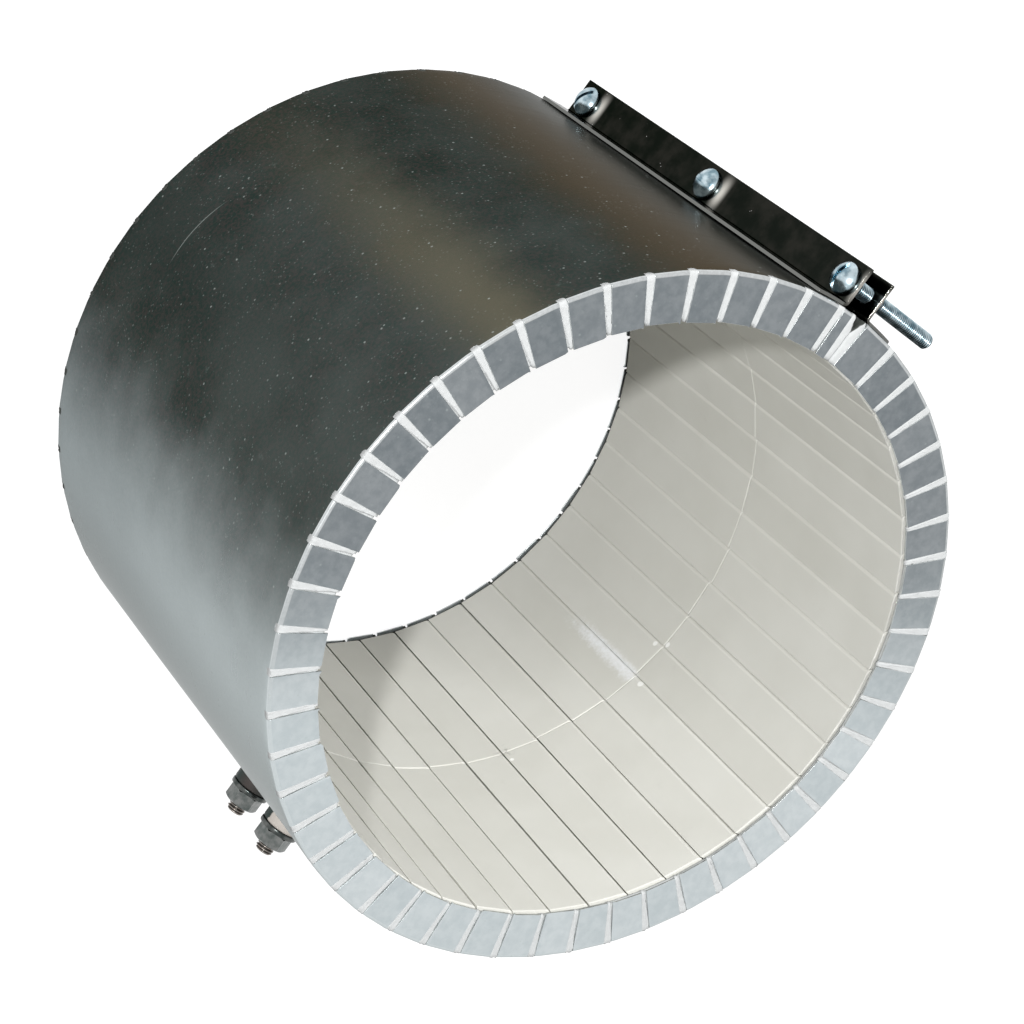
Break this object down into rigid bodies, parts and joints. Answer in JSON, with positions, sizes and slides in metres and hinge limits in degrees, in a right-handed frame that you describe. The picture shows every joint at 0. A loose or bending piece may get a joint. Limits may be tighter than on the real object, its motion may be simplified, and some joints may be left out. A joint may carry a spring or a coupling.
{
  "type": "band heater",
  "caption": "Split ceramic band heater for a machine barrel: tiled bore, fibre mat, sheet jacket with folded tabs, screw clamp across the split and stud terminals.",
  "frame": {"origin": "centre of the bore, halfway along the band", "axes": "+Z along the bore, out of the end that faces up in the picture; the split and its clamp at -X, the terminals at +X"},
  "size_m": [0.253, 0.2212, 0.172],
  "materials": {
    "jacket_sheet": "bright rolled sheet steel, heat darkened",
    "fibre": "white ceramic fibre mat",
    "ceramic_tile": "unglazed off-white steatite",
    "resistance_wire": "dull nickel-chromium alloy",
    "clamp_sheet": "bright sheet steel",
    "zinc_plated_steel": "zinc plate with a blue cast",
    "terminal_steel": "plated steel, browned by heat",
    "bush_ceramic": "unglazed ceramic, dusty"
  },
  "bodies": {
    "band": {"outer_jacket": "jacket_sheet", "insulation_blanket": "fibre", "tile_set_01": "ceramic_tile", "tile_set_02": "ceramic_tile", "tile_set_03": "ceramic_tile", "tile_set_04": "ceramic_tile", "tile_set_05": "ceramic_tile", "tile_set_06": "ceramic_tile", "tile_set_07": "ceramic_tile", "tile_set_08": "ceramic_tile", "tile_set_09": "ceramic_tile", "tile_set_10": "ceramic_tile", "tile_set_11": "ceramic_tile", "tile_set_12": "ceramic_tile", "tile_set_13": "ceramic_tile", "tile_set_14": "ceramic_tile", "tile_set_15": "ceramic_tile", "heating_coil": "resistance_wire", "lead_strip_front": "resistance_wire", "lead_strip_rear": "resistance_wire", "clamp_bracket_nut_side": "clamp_sheet", "clamp_bracket_head_side": "clamp_sheet", "terminal_stud_1": "terminal_steel", "terminal_bush_1": "bush_ceramic", "terminal_stud_2": "terminal_steel", "terminal_bush_2": "bush_ceramic"},
    "clamp_screw_1": {"clamp_screw_1": "zinc_plated_steel"},
    "clamp_nut_1": {"clamp_nut_1": "zinc_plated_steel"},
    "clamp_screw_2": {"clamp_screw_2": "zinc_plated_steel"},
    "clamp_nut_2": {"clamp_nut_2": "zinc_plated_steel"},
    "clamp_screw_3": {"clamp_screw_3": "zinc_plated_steel"},
    "clamp_nut_3": {"clamp_nut_3": "zinc_plated_steel"},
    "terminal_washer_1": {"terminal_washer_1": "terminal_steel"},
    "terminal_nut_1": {"terminal_nut_1": "terminal_steel"},
    "terminal_washer_2": {"terminal_washer_2": "terminal_steel"},
    "terminal_nut_2": {"terminal_nut_2": "terminal_steel"}
  },
  "joints": [
    {"name": "clamp_screw_turn_1", "type": "hinge", "parent": "band", "child": "clamp_screw_1", "pos_m": [-0.1171, 0, -0.0765], "axis": [0, -1, 0], "range_deg": [0, 3601]},
    {"name": "clamp_nut_travel_1", "type": "slide", "parent": "band", "child": "clamp_nut_1", "axis": [0, 1, 0], "range_m": [0, 0.008]},
    {"name": "clamp_screw_turn_2", "type": "hinge", "parent": "band", "child": "clamp_screw_2", "pos_m": [-0.1171, 0, 0], "axis": [0, -1, 0], "range_deg": [0, 3601]},
    {"name": "clamp_nut_travel_2", "type": "slide", "parent": "band", "child": "clamp_nut_2", "axis": [0, 1, 0], "range_m": [0, 0.008]},
    {"name": "clamp_screw_turn_3", "type": "hinge", "parent": "band", "child": "clamp_screw_3", "pos_m": [-0.1171, 0, 0.0765], "axis": [0, -1, 0], "range_deg": [0, 3601]},
    {"name": "clamp_nut_travel_3", "type": "slide", "parent": "band", "child": "clamp_nut_3", "axis": [0, 1, 0], "range_m": [0, 0.008]},
    {"name": "terminal_washer_travel_1", "type": "slide", "parent": "band", "child": "terminal_washer_1", "axis": [1, 0, 0], "range_m": [0, 0.006]},
    {"name": "terminal_nut_turn_1", "type": "hinge", "parent": "terminal_washer_1", "child": "terminal_nut_1", "pos_m": [0.1214, 0, -0.01175], "axis": [1, 0, 0], "range_deg": [0, 2161]},
    {"name": "terminal_washer_travel_2", "type": "slide", "parent": "band", "child": "terminal_washer_2", "axis": [1, 0, 0], "range_m": [0, 0.006]},
    {"name": "terminal_nut_turn_2", "type": "hinge", "parent": "terminal_washer_2", "child": "terminal_nut_2", "pos_m": [0.1214, 0, 0.01175], "axis": [1, 0, 0], "range_deg": [0, 2161]}
  ],
  "couplings": [
    {"joint": "clamp_screw_turn_1", "follows": "clamp_nut_travel_1", "rad_per_m": 7854},
    {"joint": "clamp_screw_turn_2", "follows": "clamp_nut_travel_2", "rad_per_m": 7854},
    {"joint": "clamp_screw_turn_3", "follows": "clamp_nut_travel_3", "rad_per_m": 7854},
    {"joint": "terminal_nut_turn_1", "follows": "terminal_washer_travel_1", "rad_per_m": 6283.2},
    {"joint": "terminal_nut_turn_2", "follows": "terminal_washer_travel_2", "rad_per_m": 6283.2}
  ]
}
